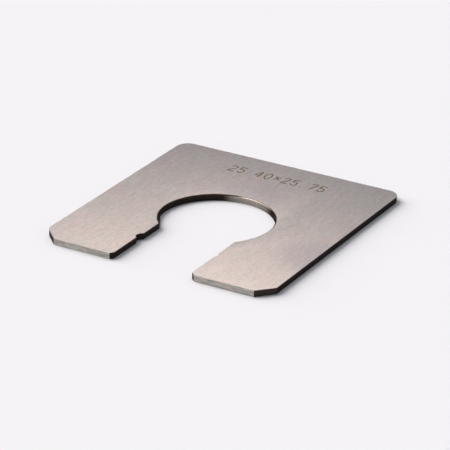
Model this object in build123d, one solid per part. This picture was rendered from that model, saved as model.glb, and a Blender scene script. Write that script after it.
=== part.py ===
from build123d import *
import os
from math import hypot

# A snap gauge cut from one ground steel plate, in millimetres.
# Seen from the mouth, +X is to the right, +Y runs in to the back edge and +Z is up.
# The origin is the middle of the underside, where the plate lies on the bench.

# Plate
plate_width = 76.0
plate_depth = 83.0
plate_thickness = 2.0
back_corner_radius = 4.0
edge_break = 0.1

# Front corners, clipped by hand and so not quite alike. Each clip runs some way along
# the front edge and some way along the side. The left one is rubbed round at the side.
left_clip_front = 5.3
left_clip_side = 5.3
left_clip_radius = 4.0
right_clip_front = 4.5
right_clip_side = 5.0

# Measuring gaps. The right jaw is one straight anvil, and the left jaw steps in
# behind its relief groove: the outer gap passes a good shaft, and the inner stops it.
go_gap = 25.75
no_go_gap = 25.40

# Lead-ins at the mouth, along the front edge and along the outer lands
stepped_lead_in_front = 0.9
stepped_lead_in_side = 1.2
anvil_lead_in_front = 1.2
anvil_lead_in_side = 1.2

# Relief grooves, between the two lands of each jaw
groove_distance = 14.9
groove_radius = 2.0
stepped_groove_depth = 0.8
anvil_groove_depth = 0.5

# Round throat behind the jaws
throat_distance = 37.4
throat_radius = 17.7
land_end_radius = 0.4

# Where things lie, worked out from the sizes above
side_edge = plate_width / 2
front_edge = -plate_depth / 2
anvil_x = go_gap / 2
go_land_x = anvil_x - go_gap
no_go_land_x = anvil_x - no_go_gap
groove_y = front_edge + groove_distance
throat_y = front_edge + throat_distance
stepped_groove_x = go_land_x - stepped_groove_depth + groove_radius
anvil_groove_x = anvil_x + anvil_groove_depth - groove_radius


def gap_between(left, right, front, back):
    """The rectangle of a straight gap, given by its four sides."""
    middle = ((left + right) / 2, (front + back) / 2)
    return Pos(*middle) * Rectangle(right - left, back - front)


def corner_of_front(corner_x, along_front, along_side):
    """The triangle at a corner of the front edge. It runs to the right if along_front is positive."""
    on_front = (corner_x + along_front, front_edge)
    on_side = (corner_x, front_edge + along_side)
    return Polygon((corner_x, front_edge), on_front, on_side, align=None)


def plate_blank():
    """The plate's outline, with its rounded back corners and clipped front corners."""
    blank = Rectangle(plate_width, plate_depth)
    blank = fillet(blank.vertices().group_by(Axis.Y)[-1], back_corner_radius)
    blank -= corner_of_front(-side_edge, left_clip_front, left_clip_side)
    blank -= corner_of_front(side_edge, -right_clip_front, right_clip_side)
    clip_end = blank.vertices().sort_by_distance((-side_edge, front_edge + left_clip_side))[0]
    return fillet(clip_end, left_clip_radius)


def throat_and_gaps():
    """Everything that is cut away between the jaws."""
    cut = Pos(0, throat_y) * Circle(throat_radius)
    cut += gap_between(go_land_x, anvil_x, front_edge, groove_y)
    cut += gap_between(no_go_land_x, anvil_x, groove_y, throat_y)
    cut += Pos(stepped_groove_x, groove_y) * Circle(groove_radius)
    cut += Pos(anvil_groove_x, groove_y) * Circle(groove_radius)
    return cut


def is_land_end(vertex):
    """True where a land runs out into the round throat."""
    return abs(hypot(vertex.X, vertex.Y - throat_y) - throat_radius) < 1e-4


def gauge_outline():
    """The finished outline, with its lead-in chamfers and softened land ends."""
    outline = plate_blank() - throat_and_gaps()
    outline -= corner_of_front(go_land_x, -stepped_lead_in_front, stepped_lead_in_side)
    outline -= corner_of_front(anvil_x, anvil_lead_in_front, anvil_lead_in_side)
    return fillet(outline.vertices().filter_by(is_land_end), land_end_radius)


def gauge_plate():
    """The plate at its full thickness, with every face edge lightly broken."""
    plate = extrude(gauge_outline(), amount=plate_thickness)
    by_height = plate.faces().sort_by(Axis.Z)
    return chamfer(by_height[0].edges() + by_height[-1].edges(), edge_break)


os.makedirs("parts", exist_ok=True)
plate = gauge_plate()
export_step(plate, "parts/gauge_plate.step")
print(f"gauge_plate: {plate.volume:.0f} cubic mm, GO {go_gap} and NO GO {no_go_gap} mm")
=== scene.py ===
# %% [markdown]
# # A snap gauge in ground steel
#
# A snap gauge is the quickest measuring tool in a workshop: one flat steel plate with a gap in it.
# A good shaft slips through the outer step of the gap and stops at the inner one. This lesson
# dresses the plain solid of such a gauge. We model the plate again with finer arcs, rounded edges
# and engraved figures, and then give each surface the finish that its own machine leaves on it.

import math

import bmesh
import bpy
from mathutils import Matrix, Vector


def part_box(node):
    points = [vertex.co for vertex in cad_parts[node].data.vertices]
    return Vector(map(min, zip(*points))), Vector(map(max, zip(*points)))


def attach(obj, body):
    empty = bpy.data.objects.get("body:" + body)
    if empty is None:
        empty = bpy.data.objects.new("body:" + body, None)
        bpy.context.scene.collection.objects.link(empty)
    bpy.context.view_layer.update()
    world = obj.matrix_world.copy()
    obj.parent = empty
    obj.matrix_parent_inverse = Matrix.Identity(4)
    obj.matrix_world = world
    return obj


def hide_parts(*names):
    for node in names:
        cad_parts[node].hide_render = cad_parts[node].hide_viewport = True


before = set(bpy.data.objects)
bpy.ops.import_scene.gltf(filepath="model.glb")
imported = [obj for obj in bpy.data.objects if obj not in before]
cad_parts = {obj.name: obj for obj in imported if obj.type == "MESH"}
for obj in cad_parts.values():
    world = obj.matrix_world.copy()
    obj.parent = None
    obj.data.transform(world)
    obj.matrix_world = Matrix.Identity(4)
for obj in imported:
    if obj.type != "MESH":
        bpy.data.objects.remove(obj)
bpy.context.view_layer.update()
cad_low, cad_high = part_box("gauge_plate")
print("the plate runs from", tuple(cad_low), "to", tuple(cad_high))

# %% [markdown]
# The solid's own box gives the plate's width, depth and thickness. The other sizes are the ones a
# machinist would read off the drawing, in millimetres. Blender works in metres, so one small
# function turns millimetres into metres. The two gaps come first, because the gauge is made for
# them. Both end at the same anvil on the right, so they differ by the step in the left jaw.


# %% The plate and its two gaps
def mm(size):
    """Millimetres to metres."""
    return size / 1000


PLATE_SIZE = cad_high - cad_low
HALF_WIDTH = PLATE_SIZE.x / 2
FRONT_EDGE = cad_low.y
BACK_EDGE = cad_high.y
TOP = cad_high.z
UNDERSIDE = cad_low.z
MIDDLE_HEIGHT = (TOP + UNDERSIDE) / 2

GO_GAP_MM = 25.75
NO_GO_GAP_MM = 25.40
ANVIL_X = mm(GO_GAP_MM) / 2
GO_LAND_X = ANVIL_X - mm(GO_GAP_MM)
NO_GO_LAND_X = ANVIL_X - mm(NO_GO_GAP_MM)
print(f"plate {PLATE_SIZE.x * 1000:.1f} x {PLATE_SIZE.y * 1000:.1f} x {PLATE_SIZE.z * 1000:.1f} mm")
print(f"the left jaw steps in by {GO_GAP_MM - NO_GO_GAP_MM:.2f} mm")

# %% [markdown]
# ## The camera first
#
# A product photograph like this one is taken from well back with a long lens, which keeps the
# plate's sides nearly parallel. The camera looks down at 24 degrees from the right of the mouth.
# We set it up before anything else, so that every look at the work is through the same lens.

# %% Place the camera
CAMERA_AZIMUTH = math.radians(29.21)
CAMERA_ELEVATION = math.radians(24.18)
CAMERA_ROLL = math.radians(1.20)
CAMERA_DISTANCE = mm(840)
AIM_RIGHT = mm(0.52)
AIM_UP = mm(-1.63)
LENS_MM = 227.6
SENSOR_MM = 36.0
NEAREST_SEEN = mm(10)
FARTHEST_SEEN = mm(50000)


def camera_axes(azimuth, elevation, roll):
    """The camera's right, up and back directions."""
    back = Vector((
        math.sin(azimuth) * math.cos(elevation),
        -math.cos(azimuth) * math.cos(elevation),
        math.sin(elevation),
    ))
    level_right = Vector((math.cos(azimuth), math.sin(azimuth), 0))
    level_up = back.cross(level_right)
    right = level_right * math.cos(roll) + level_up * math.sin(roll)
    return right, back.cross(right), back


right, up, back = camera_axes(CAMERA_AZIMUTH, CAMERA_ELEVATION, CAMERA_ROLL)
camera_data = bpy.data.cameras.new("long_lens")
camera_data.sensor_width = SENSOR_MM
camera_data.lens = LENS_MM
camera_data.clip_start = NEAREST_SEEN
camera_data.clip_end = FARTHEST_SEEN
camera = bpy.data.objects.new("camera", camera_data)
camera_place = right * AIM_RIGHT + up * AIM_UP + back * CAMERA_DISTANCE
turn = Matrix((right, up, back)).transposed().to_4x4()
camera.matrix_world = Matrix.Translation(camera_place) @ turn
bpy.context.scene.collection.objects.link(camera)
bpy.context.scene.camera = camera
print("camera stands at", [round(value * 1000) for value in camera_place], "mm")

# %% [markdown]
# ## The plate
#
# The real plate is cut from sheet steel, hardened and then ground. We go the same way, and start
# with a blank: a block with its two back corners rounded. Beveling an upright edge rounds such a
# corner with a chosen number of flat strips, and the bevel's offset is where the arc starts.

# %% A blank with its back corners rounded
BACK_CORNER_RADIUS = mm(4)
BACK_CORNER_STRIPS = 24
PLUMB_WITHIN = mm(0.001)


def new_piece(name, mesh_maker):
    """A bmesh is made, filled by mesh_maker and turned into an object at the origin."""
    mesh = bpy.data.meshes.new(name)
    shape = bmesh.new()
    mesh_maker(shape)
    shape.to_mesh(mesh)
    shape.free()
    piece = bpy.data.objects.new(name, mesh)
    bpy.context.scene.collection.objects.link(piece)
    return piece


def add_block(shape, low, high):
    """A block between two corners."""
    middle = (Vector(low) + Vector(high)) / 2
    size = Vector(high) - Vector(low)
    place = Matrix.Translation(middle) @ Matrix.Diagonal(size).to_4x4()
    bmesh.ops.create_cube(shape, size=1, matrix=place)


def upright_edge(shape, x, y):
    """The upright edge of a shape that stands closest to a place of the plan."""
    uprights = [edge for edge in shape.edges
                if (edge.verts[0].co - edge.verts[1].co).xy.length < PLUMB_WITHIN]
    return min(uprights, key=lambda edge: (edge.verts[0].co.xy - Vector((x, y))).length)


def round_upright(shape, x, y, tangent_length, strips):
    """Rounds one upright edge. Its arc starts at tangent_length from the old corner."""
    bmesh.ops.bevel(shape, geom=[upright_edge(shape, x, y)], offset=tangent_length,
                    offset_type="OFFSET", segments=strips, profile=0.5, affect="EDGES",
                    material=-1)


def make_blank(shape):
    """The plate before anything is cut out of it."""
    add_block(shape, cad_low, cad_high)
    for x in (-HALF_WIDTH, HALF_WIDTH):
        round_upright(shape, x, BACK_EDGE, BACK_CORNER_RADIUS, BACK_CORNER_STRIPS)


plate = new_piece("ground_plate", make_blank)
print("the blank has", len(plate.data.polygons), "faces")

# %% [markdown]
# ### Bars for the throat and the grooves
#
# The gap, the throat and the two relief grooves are cut out of the blank. A boolean keeps each
# cutter as simple as the tool it stands for, so a bore is cut by a round bar. The throat's bar has
# many more sides than the solid's arc, so that the wall catches the light smoothly. The throat
# wasn't cut out fully next to the stepped land, so one plane takes a flat off its bar there.

# %% Round bars
CUT_CLEARANCE = mm(1)
CUTTER_HEIGHT = PLATE_SIZE.z + 2 * CUT_CLEARANCE
THROAT_RADIUS = mm(17.3)
THROAT_Y = FRONT_EDGE + mm(37.4)
THROAT_SIDES = 288
FLAT_ANGLE = math.radians(209.2)
FLAT_FROM_MIDDLE = mm(16.6)
GROOVE_RADIUS = mm(2)
GROOVE_Y = FRONT_EDGE + mm(14.9)
GROOVE_SIDES = 72
STEPPED_GROOVE_X = GO_LAND_X - mm(0.8) + GROOVE_RADIUS
ANVIL_GROOVE_X = ANVIL_X + mm(0.5) - GROOVE_RADIUS
ON_PLANE_WITHIN = mm(0.0001)


def add_bar(shape, x, y, radius, sides):
    """A round upright bar that passes right through the plate."""
    place = Matrix.Translation((x, y, MIDDLE_HEIGHT))
    bmesh.ops.create_cone(shape, cap_ends=True, segments=sides, radius1=radius, radius2=radius,
                          depth=CUTTER_HEIGHT, matrix=place)


def add_throat(shape):
    """The throat's bar, with a flat on the side of the stepped land."""
    add_bar(shape, 0, THROAT_Y, THROAT_RADIUS, THROAT_SIDES)
    outwards = Vector((math.cos(FLAT_ANGLE), math.sin(FLAT_ANGLE), 0))
    flat_place = Vector((0, THROAT_Y, 0)) + outwards * FLAT_FROM_MIDDLE
    everything = shape.verts[:] + shape.edges[:] + shape.faces[:]
    cut = bmesh.ops.bisect_plane(shape, geom=everything, dist=ON_PLANE_WITHIN,
                                 plane_co=flat_place, plane_no=outwards, clear_outer=True)
    open_side = [item for item in cut["geom_cut"] if isinstance(item, bmesh.types.BMEdge)]
    bmesh.ops.contextual_create(shape, geom=open_side)


def add_groove(shape, x):
    """The bar of a relief groove, which lies between the two lands of a jaw."""
    add_bar(shape, x, GROOVE_Y, GROOVE_RADIUS, GROOVE_SIDES)


print(f"groove bars at x {STEPPED_GROOVE_X * 1000:.2f} and {ANVIL_GROOVE_X * 1000:.2f} mm")

# %% [markdown]
# ### Blocks for the gaps, and a stone for the corners
#
# A gap is a block between two lands. The clipped front corners and the lead-ins of the mouth were
# ground by hand, and aren't quite alike. Their cutter is a block too, like a stone held against
# the corner: it takes away all that lies on the right of a line, seen from above.

# %% Blocks and stones
STONE_THICKNESS = mm(8)
LEFT_CLIP = (mm(5.3), mm(5.3))
RIGHT_CLIP = (mm(4.5), mm(5))
STEPPED_LEAD_IN = (mm(0.9), mm(1.2))
ANVIL_LEAD_IN = (mm(1.2), mm(1.2))


def add_gap(shape, left_land, right_land, front, rear):
    """A block that passes right through the plate between two lands."""
    low = (left_land, front, MIDDLE_HEIGHT - CUTTER_HEIGHT / 2)
    high = (right_land, rear, MIDDLE_HEIGHT + CUTTER_HEIGHT / 2)
    add_block(shape, low, high)


def add_stone(shape, start, end):
    """A block that takes away what lies right of the line from start to end, seen from above."""
    line = Vector(end) - Vector(start)
    away = Vector((line.y, -line.x)).normalized()
    middle = (Vector(start) + Vector(end)) / 2 + away * STONE_THICKNESS / 2
    size = Vector((line.length + 2 * CUT_CLEARANCE, STONE_THICKNESS, CUTTER_HEIGHT))
    turn = Matrix.Rotation(math.atan2(line.y, line.x), 4, "Z")
    place = Matrix.Translation((middle.x, middle.y, MIDDLE_HEIGHT)) @ turn
    bmesh.ops.create_cube(shape, size=1, matrix=place @ Matrix.Diagonal(size).to_4x4())


print(f"clips run {LEFT_CLIP[0] * 1000:.1f} and {RIGHT_CLIP[0] * 1000:.1f} mm along the front")

# %% [markdown]
# Now each cutter is made, used once and thrown away. The exact solver is chosen, because several
# cutters share a plane or just touch, which the fast solver can get wrong.

# %% Cut them out
CUTTERS = {
    "go_gap": lambda shape: add_gap(
        shape, GO_LAND_X, ANVIL_X, FRONT_EDGE - CUT_CLEARANCE, GROOVE_Y),
    "no_go_gap": lambda shape: add_gap(shape, NO_GO_LAND_X, ANVIL_X, GROOVE_Y, THROAT_Y),
    "throat": add_throat,
    "stepped_groove": lambda shape: add_groove(shape, STEPPED_GROOVE_X),
    "anvil_groove": lambda shape: add_groove(shape, ANVIL_GROOVE_X),
    "left_clip": lambda shape: add_stone(
        shape, (-HALF_WIDTH, FRONT_EDGE + LEFT_CLIP[1]), (-HALF_WIDTH + LEFT_CLIP[0], FRONT_EDGE)),
    "right_clip": lambda shape: add_stone(
        shape, (HALF_WIDTH - RIGHT_CLIP[0], FRONT_EDGE), (HALF_WIDTH, FRONT_EDGE + RIGHT_CLIP[1])),
    "stepped_lead_in": lambda shape: add_stone(
        shape, (GO_LAND_X - STEPPED_LEAD_IN[0], FRONT_EDGE),
        (GO_LAND_X, FRONT_EDGE + STEPPED_LEAD_IN[1])),
    "anvil_lead_in": lambda shape: add_stone(
        shape, (ANVIL_X, FRONT_EDGE + ANVIL_LEAD_IN[1]),
        (ANVIL_X + ANVIL_LEAD_IN[0], FRONT_EDGE)),
}


def cut_away(piece, cutter, self_crossing=False):
    """Takes a cutter's shape out of a piece and throws the cutter away."""
    boolean = piece.modifiers.new("cut", "BOOLEAN")
    boolean.operation = "DIFFERENCE"
    boolean.solver = "EXACT"
    boolean.use_self = self_crossing
    boolean.object = cutter
    cut_mesh = bpy.data.meshes.new_from_object(
        piece.evaluated_get(bpy.context.evaluated_depsgraph_get()))
    piece.modifiers.clear()
    piece.data = cut_mesh
    bpy.data.objects.remove(cutter)


for name, maker in CUTTERS.items():
    cut_away(plate, new_piece(name + "_cutter", maker))
    print(f"after {name}: {len(plate.data.vertices)} corners, {len(plate.data.polygons)} faces")

# %% [markdown]
# ### Rubbed corners
#
# The sharp ends where the lands run out into the throat are rubbed soft, and so is the side of the
# left clip. These are upright edges again, so they are beveled like the back corners. The booleans
# leave doubles and seams across flat faces, which would stop a bevel, so the mesh is cleaned first.
# A boolean may also number its corners otherwise in each run, and dissolving goes by number. So the
# corners, edges and faces are first sorted along a slanting line, on which no two lie alike.

# %% Rub the corners
LAND_END_RADIUS = mm(0.4)
LAND_END_STRIPS = 5
LEFT_CLIP_RADIUS = mm(4)
CLIP_STRIPS = 10
SAME_PLACE_WITHIN = mm(0.0005)
SAME_PLANE_WITHIN = math.radians(0.2)
SLANTING_LINE = Vector((0.613, 0.527, 0.589))


def cleaned_shape(mesh):
    """A mesh as a bmesh, with its doubles merged and the seams across its flat faces dissolved."""
    shape = bmesh.new()
    shape.from_mesh(mesh)
    bmesh.ops.remove_doubles(shape, verts=shape.verts, dist=SAME_PLACE_WITHIN)
    shape.verts.sort(key=lambda corner: corner.co.dot(SLANTING_LINE))
    shape.edges.sort(key=lambda edge: (edge.verts[0].co + edge.verts[1].co).dot(SLANTING_LINE))
    shape.faces.sort(key=lambda face: face.calc_center_median().dot(SLANTING_LINE))
    bmesh.ops.dissolve_limit(shape, angle_limit=SAME_PLANE_WITHIN, verts=shape.verts,
                             edges=shape.edges, use_dissolve_boundaries=False)
    return shape


def round_land_end(shape, x, distance, turn):
    """Rounds a land's end, where the land turns off into the throat."""
    round_upright(shape, x, THROAT_Y - distance, LAND_END_RADIUS * math.tan(turn / 2),
                  LAND_END_STRIPS)


def rub_corners(mesh):
    """Rounds the land ends and the side of the left clip."""
    shape = cleaned_shape(mesh)
    anvil_end = math.sqrt(THROAT_RADIUS ** 2 - ANVIL_X ** 2)
    round_land_end(shape, ANVIL_X, anvil_end, math.atan2(anvil_end, ANVIL_X))
    stepped_end = ((NO_GO_LAND_X * math.cos(FLAT_ANGLE) - FLAT_FROM_MIDDLE)
                   / math.sin(FLAT_ANGLE))
    round_land_end(shape, NO_GO_LAND_X, stepped_end, FLAT_ANGLE - math.pi)
    clip_turn = math.atan2(LEFT_CLIP[0], LEFT_CLIP[1])
    round_upright(shape, -HALF_WIDTH, FRONT_EDGE + LEFT_CLIP[1],
                  LEFT_CLIP_RADIUS * math.tan(clip_turn / 2), CLIP_STRIPS)
    shape.to_mesh(mesh)
    shape.free()


rub_corners(plate.data)
print("with rubbed corners:", len(plate.data.polygons), "faces")

# %% [markdown]
# ### The throat's rim
#
# The rim is chamfered and rounded, so that it doesn't cut the hand that holds the gauge. Its
# cutter is a turned shape, like the countersink that does this at the bench: an outline is drawn
# from the axis out and back, and spun round. It was held a little off the middle, towards the
# back, and it reaches deeper where metal stands proud.

# %% Countersink the throat
RIM_RADIUS = mm(17.72)
RIM_MIDDLE_Y = THROAT_Y + mm(0.2)
RIM_DEPTH = mm(1.5)
RIM_ROUNDING = mm(0.45)
RIM_SLOPE = math.radians(60)
RIM_STEPS = 4


def rim_outline():
    """The countersink's outline: (radius, height) from the axis out and back to the axis."""
    rounded = []
    for step in range(RIM_STEPS + 1):
        angle = RIM_SLOPE * (1 - step / RIM_STEPS)
        rounded.append((RIM_RADIUS - RIM_ROUNDING * math.sin(angle),
                        TOP - RIM_ROUNDING * (1 - math.cos(angle))))
    slope_radius, slope_top = rounded[0]
    slope_reach = (slope_top - TOP + RIM_DEPTH) / math.tan(RIM_SLOPE)
    slope_foot = (slope_radius - slope_reach, TOP - RIM_DEPTH)
    above = TOP + CUT_CLEARANCE
    return [(0, TOP - RIM_DEPTH), slope_foot, *rounded, (RIM_RADIUS, above), (0, above)]


def add_turned(shape, x, y, outline, sides):
    """A solid turned about an upright axis from an outline that starts and ends on the axis."""
    points = [shape.verts.new((x + radius, y, height)) for radius, height in outline]
    lines = [shape.edges.new(pair) for pair in zip(points, points[1:])]
    bmesh.ops.spin(shape, geom=points + lines, cent=(x, y, 0), axis=(0, 0, 1),
                   angle=2 * math.pi, steps=sides, use_merge=True)
    bmesh.ops.remove_doubles(shape, verts=shape.verts, dist=SAME_PLACE_WITHIN)
    bmesh.ops.recalc_face_normals(shape, faces=shape.faces)


countersink = new_piece("countersink", lambda shape: add_turned(
    shape, 0, RIM_MIDDLE_Y, rim_outline(), THROAT_SIDES))
cut_away(plate, countersink)
print("after the countersink:", len(plate.data.polygons), "faces")

# %% [markdown]
# ### Broken edges
#
# At last every other edge of both faces is broken with a stone. That edge is less than a tenth of a
# millimetre wide, but it is the bright line that makes steel look like steel, so it is real
# geometry: a bevel of a few narrow strips.

# %% Break the edges
EDGE_BREAK = mm(0.08)
EDGE_BREAK_STRIPS = 3
UPRIGHT_SLOPE = 0.02
LEVEL_SLOPE = 0.99


def face_rim_edges(shape):
    """The edges between a flat face of the plate and its upright walls."""
    rim = []
    for edge in shape.edges:
        slopes = sorted(abs(face.normal.z) for face in edge.link_faces)
        if len(slopes) == 2 and slopes[0] < UPRIGHT_SLOPE and slopes[1] > LEVEL_SLOPE:
            rim.append(edge)
    return rim


def break_edges(mesh):
    """Breaks every edge between a face and a wall, and measures the finished plate."""
    shape = cleaned_shape(mesh)
    bmesh.ops.bevel(shape, geom=face_rim_edges(shape), offset=EDGE_BREAK, offset_type="OFFSET",
                    segments=EDGE_BREAK_STRIPS, profile=0.5, affect="EDGES", material=-1,
                    clamp_overlap=False)
    shape.to_mesh(mesh)
    volume = shape.calc_volume()
    open_edges = sum(1 for edge in shape.edges if not edge.is_manifold)
    shape.free()
    return volume, open_edges


volume, open_edges = break_edges(plate.data)
print(f"plate volume {volume * 1e9:.0f} cubic mm, {open_edges} open edges,",
      len(plate.data.polygons), "faces")

# %% [markdown]
# ## The engraved gap sizes
#
# Every gauge carries its own sizes, or nobody could pick the right one from the drawer. The figures
# here are the two gaps of this very model. An engraving machine draws each of them as a few
# strokes, so each is a list of strokes here, and a stroke is a list of points. The point (0, 0) is
# the lower left corner of the figure, and (1, 1) its upper right corner.

# %% Strokes of the figures
ARC_STEP = math.radians(24)


def arc(middle_x, middle_y, radius_x, radius_y, start, end):
    """Points along part of an ellipse, in fractions of the figure's cell. Angles in degrees."""
    start, end = math.radians(start), math.radians(end)
    steps = max(2, round(abs(end - start) / ARC_STEP))
    angles = [start + (end - start) * step / steps for step in range(steps + 1)]
    return [(middle_x + radius_x * math.cos(angle), middle_y + radius_y * math.sin(angle))
            for angle in angles]


FIGURES = {
    "0": [arc(0.5, 0.5, 0.48, 0.5, 90, 450)],
    "2": [arc(0.5, 0.74, 0.46, 0.26, 160, -35) + [(0.04, 0.0), (0.98, 0.0)]],
    "4": [[(0.98, 0.3), (0.0, 0.3), (0.7, 1.0), (0.7, 0.0)]],
    "5": [[(0.92, 1.0), (0.14, 1.0), (0.08, 0.56)] + arc(0.48, 0.32, 0.48, 0.32, 130, -155)],
    "7": [[(0.04, 1.0), (0.98, 1.0), (0.36, 0.0)]],
    ".": [[(0.2, 0.04), (0.28, 0.04)]],
    "×": [[(0.08, 0.3), (0.88, 0.8)], [(0.08, 0.8), (0.88, 0.3)]],
}
print("strokes for the figures", " ".join(FIGURES))

# %% [markdown]
# A round cutter goes down, moves from point to point and comes up. Each straight move sweeps the
# cutter into a capsule, which is the convex hull of the cutter at both ends of the move. All the
# capsules together are one more cutter, and they cross each other, so the boolean is told so.

# %% Engrave the figures
FIGURE_WIDTH = mm(2.0)
FIGURE_HEIGHT = mm(4.1)
FIGURE_PITCH = mm(3.06)
STROKE_WIDTH = mm(0.46)
ENGRAVING_DEPTH = mm(0.04)
ENGRAVER_SIDES = 12
MARKING_MIDDLE_X = mm(1.0)
MARKING_BASE_Y = BACK_EDGE - mm(12.3)


def add_capsule(shape, start, end):
    """The engraving cutter's sweep from one point of the plan to another."""
    depth = 2 * ENGRAVING_DEPTH
    sweep = []
    for point in (start, end):
        place = Matrix.Translation((point[0], point[1], TOP))
        made = bmesh.ops.create_cone(shape, cap_ends=True, segments=ENGRAVER_SIDES,
                                     radius1=STROKE_WIDTH / 2, radius2=STROKE_WIDTH / 2,
                                     depth=depth, matrix=place)
        sweep += made["verts"]
    faces = dict.fromkeys(face for vertex in sweep for face in vertex.link_faces)
    bmesh.ops.delete(shape, geom=list(faces), context="FACES_ONLY")
    hull = bmesh.ops.convex_hull(shape, input=sweep)
    inside = [item for item in hull["geom_interior"] if isinstance(item, bmesh.types.BMVert)]
    bmesh.ops.delete(shape, geom=inside, context="VERTS")


def engrave_figures(shape, words):
    """All the figures of a row, one pitch apart, about the marking's middle."""
    row_start = MARKING_MIDDLE_X - FIGURE_PITCH * (len(words) - 1) / 2
    moves = 0
    for place, character in enumerate(words):
        left = row_start + FIGURE_PITCH * place - FIGURE_WIDTH / 2
        for stroke in FIGURES.get(character, []):
            points = [(left + x * FIGURE_WIDTH, MARKING_BASE_Y + y * FIGURE_HEIGHT)
                      for x, y in stroke]
            for start, end in zip(points, points[1:]):
                add_capsule(shape, start, end)
                moves += 1
    print(f"the engraver makes {moves} moves for {words!r}")


marking = f"{NO_GO_GAP_MM:.2f}×{GO_GAP_MM:.2f}"
figures = new_piece("engraver", lambda shape: engrave_figures(shape, marking))
cut_away(plate, figures, self_crossing=True)
print("engraved plate:", len(plate.data.polygons), "faces")

# %% [markdown]
# ## Materials
#
# One small function adds a node, sets its values and links its inputs. Colours are written as the
# sRGB hex values that a maker would pick on a screen, and another function turns them linear.
# Every pattern starts from a real size in millimetres.


# %% Colour and node helpers
def linear(hex_colour):
    """An sRGB hex colour as linear red, green, blue and alpha."""
    channels = [int(hex_colour[place:place + 2], 16) / 255 for place in (1, 3, 5)]
    steps = [value / 12.92 if value <= 0.04045 else ((value + 0.055) / 1.055) ** 2.4
             for value in channels]
    return (*steps, 1)


def add_node(tree, kind, inputs=None, **settings):
    """Adds a node, sets its properties and fills or links its inputs."""
    node = tree.nodes.new(kind)
    for name, value in settings.items():
        setattr(node, name, value)
    for name, value in (inputs or {}).items():
        if isinstance(value, bpy.types.NodeSocket):
            tree.links.new(value, node.inputs[name])
        else:
            node.inputs[name].default_value = value
    return node


def new_material(name):
    """An empty material and its node tree."""
    material = bpy.data.materials.new(name)
    material.use_nodes = True
    material.node_tree.nodes.clear()
    return material, material.node_tree


def per_mm(size):
    """How many times a pattern of this size in millimetres repeats in a metre."""
    return 1000 / size


def stretched_noise(tree, place, size_x, size_y, size_z):
    """Noise with its own size in millimetres along each axis."""
    scale = (per_mm(size_x), per_mm(size_y), per_mm(size_z))
    stretched = add_node(tree, "ShaderNodeMapping", {"Vector": place, "Scale": scale})
    return add_node(tree, "ShaderNodeTexNoise", {
        "Vector": stretched.outputs["Vector"], "Scale": 1, "Detail": 3,
        "Roughness": 0.6}).outputs["Fac"]


print("mid grey #808080 is", round(linear("#808080")[0], 3), "in linear light")

# %% [markdown]
# ### Surface-ground tool steel
#
# The two faces come off a surface grinder. The wheel runs from the mouth to the back, so the
# scratches do too. Straight scratches scatter light mostly across themselves, so the shader is
# anisotropic, with its tangent across the scratches. Real grit lines are far finer than a pixel,
# and are drawn here as coarse as they need to show. A film of oil adds slow patches of slightly
# pinker and greener grey, and two soft, cool patches darken the face a little: one behind the
# throat and one on the right arm.

# %% Ground steel for the faces
STREAK_WIDTH_MM = 0.5
STREAK_LENGTH_MM = 5
SPECKLE_MM = 1.1
PATCH_MM = 4
DARK_PATCH_TINT = "#eff0f5"
DARK_PATCHES = (
    (Vector((mm(1), mm(15), TOP)), mm(4), mm(16)),
    (Vector((mm(38), mm(-14), TOP)), mm(5), mm(15)),
)


def add_dark_patch(tree, place, colour, mark):
    """Darkens a colour a little around one place, fading between two distances from it."""
    middle, inner, outer = mark
    offset = add_node(tree, "ShaderNodeVectorMath", {0: place, 1: middle}, operation="DISTANCE")
    fade = add_node(tree, "ShaderNodeMapRange", {
        "Value": offset.outputs["Value"], "From Min": inner, "From Max": outer,
        "To Min": 1, "To Max": 0}, interpolation_type="SMOOTHSTEP")
    return add_node(tree, "ShaderNodeMix", {
        "Factor": fade.outputs["Result"], "A": colour, "B": linear(DARK_PATCH_TINT)},
        data_type="RGBA", blend_type="MULTIPLY").outputs["Result"]


def ground_steel():
    """Bare steel with straight grinding marks along Y."""
    material, tree = new_material("tool_steel_surface_ground")
    place = add_node(tree, "ShaderNodeTexCoord").outputs["Object"]
    streaks = stretched_noise(tree, place, STREAK_WIDTH_MM, STREAK_LENGTH_MM, STREAK_LENGTH_MM)
    speckle = stretched_noise(tree, place, SPECKLE_MM, SPECKLE_MM, SPECKLE_MM)
    patches = stretched_noise(tree, place, PATCH_MM, PATCH_MM, PATCH_MM)
    tints = add_node(tree, "ShaderNodeMix", {
        "Factor": patches, "A": linear("#b8c1c2"), "B": linear("#c5bac2")}, data_type="RGBA")
    grain = add_node(tree, "ShaderNodeMath", {0: streaks, 1: speckle}, operation="ADD")
    shade = add_node(tree, "ShaderNodeMapRange", {
        "Value": grain.outputs["Value"], "From Min": 0.6, "From Max": 1.4,
        "To Min": 0.84, "To Max": 1.16})
    colour = add_node(tree, "ShaderNodeVectorMath", {
        "Vector": tints.outputs["Result"], "Scale": shade.outputs["Result"]},
        operation="SCALE").outputs["Vector"]
    for mark in DARK_PATCHES:
        colour = add_dark_patch(tree, place, colour, mark)
    roughness = add_node(tree, "ShaderNodeMapRange", {
        "Value": streaks, "From Min": 0.3, "From Max": 0.7, "To Min": 0.5, "To Max": 0.535})
    bump = add_node(tree, "ShaderNodeBump", {
        "Height": streaks, "Strength": 0.3, "Distance": mm(0.01)})
    across = add_node(tree, "ShaderNodeCombineXYZ", {"X": 1, "Y": 0, "Z": 0})
    shader = add_node(tree, "ShaderNodeBsdfPrincipled", {
        "Base Color": colour, "Metallic": 1,
        "Roughness": roughness.outputs["Result"], "Anisotropic": 0.395,
        "Tangent": across.outputs["Vector"], "Normal": bump.outputs["Normal"]})
    add_node(tree, "ShaderNodeOutputMaterial", {"Surface": shader.outputs["BSDF"]})
    return material


face_steel = ground_steel()
print(face_steel.name, "has", len(face_steel.node_tree.nodes), "nodes")
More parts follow.
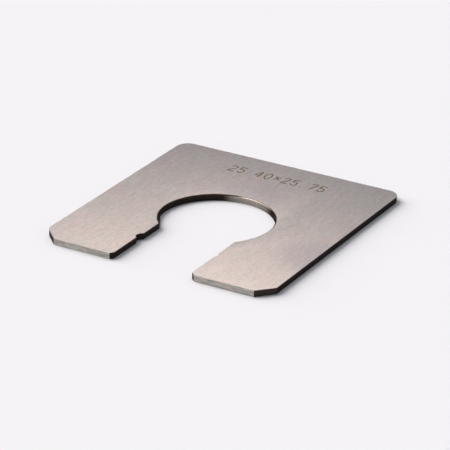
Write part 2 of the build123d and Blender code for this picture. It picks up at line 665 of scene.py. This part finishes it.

# %% [markdown]
# ### The dark skin of the cut walls, and painted highlights
#
# The outline was cut after hardening, and the cut leaves a thin dark skin on the walls, with fine
# upright marks, which are drawn coarser here. Such walls scatter light up and down, so their
# tangent is upright. The skin is duller than bare metal where it is seen at a slant, and the
# specular tint says so. At the back of the throat a second, lighter colour is mixed in by the
# distance from its middle: a painted highlight, where that wall faces the light. The rim of the
# throat is painted darker still, as painted shade, and near-white at its back as a painted
# highlight.

# %% Dark skin with painted highlights for the walls, painted shade for the rim
CUT_MARK_WIDTH_MM = 0.6
CUT_MARK_HEIGHT_MM = 4


def on_throat(degrees):
    """The place on the throat's wall at an angle, at half the plate's height."""
    angle = math.radians(degrees)
    return Vector((THROAT_RADIUS * math.cos(angle), THROAT_Y + THROAT_RADIUS * math.sin(angle),
                   MIDDLE_HEIGHT))


def add_wall_shader(tree, colour, height, edge_tint=1.0):
    """Rough metal that scatters light up and down, with a little relief."""
    bump = add_node(tree, "ShaderNodeBump", {
        "Height": height, "Strength": 0.3, "Distance": mm(0.01)})
    upright = add_node(tree, "ShaderNodeCombineXYZ", {"X": 0, "Y": 0, "Z": 1})
    shader = add_node(tree, "ShaderNodeBsdfPrincipled", {
        "Base Color": colour, "Metallic": 1, "Roughness": 0.6,
        "Specular Tint": (edge_tint, edge_tint, edge_tint, 1),
        "Anisotropic": 0.9, "Tangent": upright.outputs["Vector"],
        "Normal": bump.outputs["Normal"]})
    add_node(tree, "ShaderNodeOutputMaterial", {"Surface": shader.outputs["BSDF"]})


def skin_with_painted_highlight(name, dark, bright, middle, reach):
    """Dark skin with upright marks, and a painted highlight near a middle that fades over a reach.
    """
    material, tree = new_material(name)
    place = add_node(tree, "ShaderNodeTexCoord").outputs["Object"]
    marks = stretched_noise(tree, place, CUT_MARK_WIDTH_MM, CUT_MARK_WIDTH_MM, CUT_MARK_HEIGHT_MM)
    skin, painted_bright_colour = (add_node(tree, "ShaderNodeMix", {
        "Factor": marks, "A": linear(low), "B": linear(high)}, data_type="RGBA")
        for low, high in (dark, bright))
    offset = add_node(tree, "ShaderNodeVectorMath", {0: place, 1: middle}, operation="DISTANCE")
    painted_bright = add_node(tree, "ShaderNodeMapRange", {
        "Value": offset.outputs["Value"], "From Min": reach[0], "From Max": reach[1],
        "To Min": 1, "To Max": 0}, interpolation_type="SMOOTHSTEP")
    colour = add_node(tree, "ShaderNodeMix", {
        "Factor": painted_bright.outputs["Result"], "A": skin.outputs["Result"],
        "B": painted_bright_colour.outputs["Result"]}, data_type="RGBA")
    add_wall_shader(tree, colour.outputs["Result"], marks, edge_tint=0.65)
    return material


# The wall's lighter colours at the back of the throat are a painted highlight.
wall_skin_and_painted_highlight = skin_with_painted_highlight(
    "steel_dark_cut_wall_painted_highlight", dark=("#332d2a", "#453d39"), bright=("#7a7570", "#c3bbb5"),
    middle=on_throat(82), reach=(mm(5.4), mm(9.8)))
# The rim's colours are painted: near-black as painted shade, near-white at the back as a painted
# highlight.
rim_painted_shade_and_highlight = skin_with_painted_highlight(
    "steel_rim_painted_shade_and_highlight", dark=("#211c19", "#2c2623"), bright=("#ece8e3", "#f8f4ef"),
    middle=on_throat(74), reach=(mm(4.5), mm(8)))
print(wall_skin_and_painted_highlight.name, "and", rim_painted_shade_and_highlight.name, "are cleaned at the back of the throat")

# %% [markdown]
# ### Clips, front ends and their edge
#
# These three were worked after the cut. The stone has thinned the skin on the clipped corners, but
# it is still dark. The two front ends were ground flat, down to bare steel, with lines along the
# plate. Their upper edge is painted near-white, as a painted highlight on the broken edge. Each is
# the same rough metal as the walls, with its own colours and its own marks.

# %% Worked skin, bare ends and a painted edge highlight
CLIP_MARK_LENGTH_MM = 1.2
CLIP_MARK_HEIGHT_MM = 0.5
END_LINE_LENGTH_MM = 2.5
END_LINE_HEIGHT_MM = 0.3
EDGE_MARK_LENGTH_MM = 1.2
EDGE_MARK_WIDTH_MM = 0.5


def stoned_clip():
    """The skin of the clipped corners, thinned by the stone but still dark."""
    material, tree = new_material("steel_stoned_clip")
    place = add_node(tree, "ShaderNodeTexCoord").outputs["Object"]
    marks = stretched_noise(tree, place, CLIP_MARK_LENGTH_MM, CLIP_MARK_LENGTH_MM,
                            CLIP_MARK_HEIGHT_MM)
    colour = add_node(tree, "ShaderNodeMix", {
        "Factor": marks, "A": linear("#4c433d"), "B": linear("#61564f")}, data_type="RGBA")
    add_wall_shader(tree, colour.outputs["Result"], marks, edge_tint=0.5)
    return material


def ground_end():
    """Bare ground steel with lines along the plate's front."""
    material, tree = new_material("steel_ground_end")
    place = add_node(tree, "ShaderNodeTexCoord").outputs["Object"]
    lines = stretched_noise(tree, place, END_LINE_LENGTH_MM, END_LINE_LENGTH_MM,
                            END_LINE_HEIGHT_MM)
    sharpened = add_node(tree, "ShaderNodeMapRange", {
        "Value": lines, "From Min": 0.35, "From Max": 0.65, "To Min": 0, "To Max": 1})
    colour = add_node(tree, "ShaderNodeMix", {
        "Factor": sharpened.outputs["Result"], "A": linear("#a29c97"),
        "B": linear("#d2cdc7")}, data_type="RGBA")
    add_wall_shader(tree, colour.outputs["Result"], lines)
    return material


def painted_edge_highlight():
    """The upper edge of the front ends, with a painted highlight."""
    material, tree = new_material("steel_painted_edge_highlight")
    place = add_node(tree, "ShaderNodeTexCoord").outputs["Object"]
    marks = stretched_noise(tree, place, EDGE_MARK_LENGTH_MM, EDGE_MARK_WIDTH_MM,
                            EDGE_MARK_WIDTH_MM)
    colour = add_node(tree, "ShaderNodeMix", {
        "Factor": marks, "A": linear("#efeae4"), "B": linear("#fbf7f2")}, data_type="RGBA")
    add_wall_shader(tree, colour.outputs["Result"], marks)
    return material


clip_skin = stoned_clip()
end_steel = ground_end()
painted_edge_steel = painted_edge_highlight()
print("made", clip_skin.name, end_steel.name, painted_edge_steel.name)

# %% [markdown]
# ### The engraved lines
#
# The figures were marked after hardening. The spark that cuts them leaves a brown, matte oxide,
# which is only half a metal to the eye, so its metallic value lies between.

# %% Brown oxide for the engraving
OXIDE_GRAIN_MM = 0.5


def engraved_oxide():
    """Matte brown scale on the floor of the engraved lines."""
    material, tree = new_material("engraved_brown_oxide")
    place = add_node(tree, "ShaderNodeTexCoord").outputs["Object"]
    grain = stretched_noise(tree, place, OXIDE_GRAIN_MM, OXIDE_GRAIN_MM, OXIDE_GRAIN_MM)
    colour = add_node(tree, "ShaderNodeMix", {
        "Factor": grain, "A": linear("#51443a"), "B": linear("#7d6c5c")}, data_type="RGBA")
    shader = add_node(tree, "ShaderNodeBsdfPrincipled", {
        "Base Color": colour.outputs["Result"], "Metallic": 0.4, "Roughness": 0.7})
    add_node(tree, "ShaderNodeOutputMaterial", {"Surface": shader.outputs["BSDF"]})
    return material


oxide = engraved_oxide()
print(oxide.name, "has", len(oxide.node_tree.nodes), "nodes")

# %% [markdown]
# ### Which face wears which finish
#
# The plate is one mesh, so its finishes are material slots, and each face gets the one that fits
# where it lies and which way it looks. The z of a face's normal tells its slope: 1 is level and
# looks up, 0 is upright, and what leans more than a little is a broken edge. The y of the normal
# tells how far a wall looks to the front, where a wall square to the mouth has -1.

# %% Give each face of the plate its finish
FACE, WALL, RIM, CLIP, FRONT_END, PAINTED_EDGE_HIGHLIGHT, ENGRAVING = range(7)
FINISHES = (face_steel, wall_skin_and_painted_highlight, rim_painted_shade_and_highlight, clip_skin, end_steel, painted_edge_steel, oxide)
for material in FINISHES:
    plate.data.materials.append(material)
BORES = (
    (Vector((0, RIM_MIDDLE_Y)), RIM_RADIUS),
    (Vector((STEPPED_GROOVE_X, GROOVE_Y)), GROOVE_RADIUS + EDGE_BREAK),
    (Vector((ANVIL_GROOVE_X, GROOVE_Y)), GROOVE_RADIUS + EDGE_BREAK),
)
LEANING = 0.1
NEARLY_LEVEL = 0.998
ROUNDED_RIM = 0.55
GROOVE_FLOOR = 0.9
GROOVE_WALL = 0.01
ENGRAVING_SLACK = (mm(0.005), mm(0.01))
END_ZONE = FRONT_EDGE + mm(1.5)
END_LOOKS_FRONT = -0.7
EDGE_LOOKS_FRONT = -0.6
CLIP_ZONE = HALF_WIDTH - mm(5.5)
CLIP_LOOKS_FRONT = -0.66


def on_bore_edge(polygon):
    """True for the rounded upper edge of the throat or of a groove, with the rim's painted shade
    and highlight.
    """
    if not LEANING < polygon.normal.z < NEARLY_LEVEL:
        return False
    return any((polygon.center.xy - place).length < radius for place, radius in BORES)


def is_engraved(polygon):
    """True for the floor and the walls of the engraved lines, which lie just under the top."""
    depth = TOP - polygon.center.z
    slope = polygon.normal.z
    return (ENGRAVING_SLACK[0] < depth < ENGRAVING_DEPTH + ENGRAVING_SLACK[1]
            and (slope > GROOVE_FLOOR or abs(slope) < GROOVE_WALL))


def finish_of(polygon):
    """Which finish a face of the plate has."""
    normal, middle = polygon.normal, polygon.center
    if is_engraved(polygon):
        return ENGRAVING
    # Painted shade: the broken lower edges wear the dark wall skin, while the upper ones wear
    # ground steel.
    if -LEVEL_SLOPE < normal.z < -LEANING:
        return WALL
    if on_bore_edge(polygon):
        return RIM if normal.z > ROUNDED_RIM else WALL
    at_front = middle.y < END_ZONE and abs(normal.x) < LEANING
    # Painted highlight: the broken upper edge of the front ends gets a near-white finish.
    if at_front and normal.y < EDGE_LOOKS_FRONT and normal.z > LEANING:
        return PAINTED_EDGE_HIGHLIGHT
    if abs(normal.z) > LEANING:
        return FACE
    if at_front and normal.y < END_LOOKS_FRONT:
        return FRONT_END
    # Painted shade: where the left clip rounds off towards the side it looks less to the front and
    # wears the darker wall skin.
    if abs(middle.x) > CLIP_ZONE and normal.y < CLIP_LOOKS_FRONT:
        return CLIP
    return WALL


counts = [0] * len(FINISHES)
for polygon in plate.data.polygons:
    polygon.material_index = finish_of(polygon)
    polygon.use_smooth = True
    counts[polygon.material_index] += 1
print("faces of ground face, wall, rim, clip, front end, its edge and engraving:", counts)

# %% [markdown]
# Arcs are shaded smooth, but a flat face has to stay flat right to its edge. So an edge is sharp,
# apart from the joints between two neighbouring strips of one arc. Then the plate is told which
# body it rides on, and the CAD solid that it replaces is hidden.

# %% Sharp and smooth edges
SMOOTH_ANGLE = math.radians(12)
SAME_SLOPE_WITHIN = 0.02


def mark_sharp_edges(mesh):
    """Sharp everywhere, apart from the joints between two narrow strips of one arc."""
    shape = bmesh.new()
    shape.from_mesh(mesh)
    smooth = 0
    for edge in shape.edges:
        same_slope = len(edge.link_faces) == 2 and abs(
            edge.link_faces[0].normal.z - edge.link_faces[1].normal.z) < SAME_SLOPE_WITHIN
        edge.smooth = same_slope and edge.calc_face_angle(math.pi) < SMOOTH_ANGLE
        smooth += edge.smooth
    shape.to_mesh(mesh)
    shape.free()
    return smooth


print("smooth edges:", mark_sharp_edges(plate.data))

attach(plate, "root")
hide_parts("gauge_plate")

# %% [markdown]
# ## Floor and light
#
# The gauge lies on white paper, which keeps its shadow. The paper is matte, so that it mirrors
# nothing, and so large that its edge is never in the picture.

# %% White paper
FLOOR_SIZE = 8.0
FLOOR_DROP = mm(0.01)
PAPER_WAVE_MM = 400
PAPER_COLOUR = "#ebe7ea"


def white_paper():
    """Matte paper that lies in long waves, which are almost too low to see."""
    material, tree = new_material("white_card")
    place = add_node(tree, "ShaderNodeTexCoord").outputs["Object"]
    waves = add_node(tree, "ShaderNodeTexNoise", {
        "Vector": place, "Scale": per_mm(PAPER_WAVE_MM)})
    bump = add_node(tree, "ShaderNodeBump", {
        "Height": waves.outputs["Fac"], "Strength": 0.02, "Distance": mm(0.02)})
    shader = add_node(tree, "ShaderNodeBsdfPrincipled", {
        "Base Color": linear(PAPER_COLOUR), "Roughness": 1, "Specular IOR Level": 0,
        "Normal": bump.outputs["Normal"]})
    add_node(tree, "ShaderNodeOutputMaterial", {"Surface": shader.outputs["BSDF"]})
    return material


def make_floor(shape):
    """A large flat square just under the plate."""
    place = Matrix.Translation((0, 0, UNDERSIDE - FLOOR_DROP))
    bmesh.ops.create_grid(shape, x_segments=1, y_segments=1, size=FLOOR_SIZE / 2, matrix=place)


floor = new_piece("paper_floor", make_floor)
floor.data.materials.append(white_paper())
print("paper", FLOOR_SIZE, "m wide")

# %% [markdown]
# The lamps that light the paper are so far off that they light every place alike: a wide key lamp
# on the left, which makes the soft shadow on the right of each wall, and a weak fill from behind.
# A sun lamp is such a lamp, and its angle says how wide it looks from the plate. Steel would show
# them as hot spots, so reflections don't see them.

# %% Lamps for the paper
LAMP_COLOUR = (1.0, 0.988, 0.963)
KEY_DIRECTION = Vector((-0.835, 0, 0.55))
KEY_STRENGTH = 4.37
KEY_ANGLE = math.radians(62)
FILL_DIRECTION = Vector((-0.2, 0.75, 0.63))
FILL_STRENGTH = 0.4
FILL_ANGLE = math.radians(50)


def look_along(direction):
    """A turn that points a lamp's own -Z along a direction."""
    return direction.to_track_quat("-Z", "Y").to_matrix().to_4x4()


def add_far_lamp(name, direction, strength, angle):
    """A lamp so far off that it lights every place alike. Reflections don't show it."""
    lamp_data = bpy.data.lights.new(name, "SUN")
    lamp_data.energy = strength
    lamp_data.angle = angle
    lamp_data.color = LAMP_COLOUR
    lamp = bpy.data.objects.new(name, lamp_data)
    lamp.matrix_world = look_along(-direction)
    lamp.visible_glossy = False
    bpy.context.scene.collection.objects.link(lamp)


add_far_lamp("key_softbox", KEY_DIRECTION, KEY_STRENGTH, KEY_ANGLE)
add_far_lamp("back_fill", FILL_DIRECTION, FILL_STRENGTH, FILL_ANGLE)
print("key lamp", KEY_STRENGTH, "fill", FILL_STRENGTH)

# %% [markdown]
# Bare metal shows what it mirrors, so it gets two cards of its own, which only reflections can
# see: a warm one over the back of the plate, near enough for its reflection to fade from the mouth
# to the back, and a wide one in front, for the walls that face the camera. Both are kept large and
# dim, so that they don't burn out the steel when it is seen from another side.

# %% Cards for the steel
BACK_CARD_PLACE = Vector((mm(-40), mm(60), mm(165)))
BACK_CARD_SIZE = (mm(150), mm(95))
BACK_CARD_POWER = 0.322
BACK_CARD_COLOUR = (1.0, 0.8, 0.65)
FRONT_CARD_PLACE = Vector((mm(-240), mm(-240), mm(190)))
FRONT_CARD_SIZE = (mm(450), mm(340))
FRONT_CARD_POWER = 0.57
FRONT_CARD_COLOUR = (1.0, 0.97, 0.94)


def add_card(name, card_place, size, power, colour):
    """A glowing card that faces the plate and that only reflections show."""
    card_data = bpy.data.lights.new(name, "AREA")
    card_data.shape = "RECTANGLE"
    card_data.size, card_data.size_y = size
    card_data.energy = power
    card_data.color = colour
    card = bpy.data.objects.new(name, card_data)
    card.matrix_world = Matrix.Translation(card_place) @ look_along(-card_place)
    card.visible_camera = False
    card.visible_diffuse = False
    bpy.context.scene.collection.objects.link(card)


add_card("back_card", BACK_CARD_PLACE, BACK_CARD_SIZE, BACK_CARD_POWER, BACK_CARD_COLOUR)
add_card("front_card", FRONT_CARD_PLACE, FRONT_CARD_SIZE, FRONT_CARD_POWER, FRONT_CARD_COLOUR)
print("back card", BACK_CARD_POWER, "W, front card", FRONT_CARD_POWER, "W")

# %% [markdown]
# An even sky fills what the lamps and the cards leave dark, as the white walls of a studio do. The
# plain view transform shows each colour as it is written.

# %% An even sky
SKY_COLOUR = (0.259, 0.285, 0.307, 1)

world = bpy.data.worlds.new("studio_sky")
world.use_nodes = True
world.node_tree.nodes.clear()
sky = add_node(world.node_tree, "ShaderNodeBackground", {"Color": SKY_COLOUR, "Strength": 1})
add_node(world.node_tree, "ShaderNodeOutputWorld", {"Surface": sky.outputs["Background"]})
bpy.context.scene.world = world
bpy.context.scene.view_settings.view_transform = "Standard"
print("sky", SKY_COLOUR[:3])
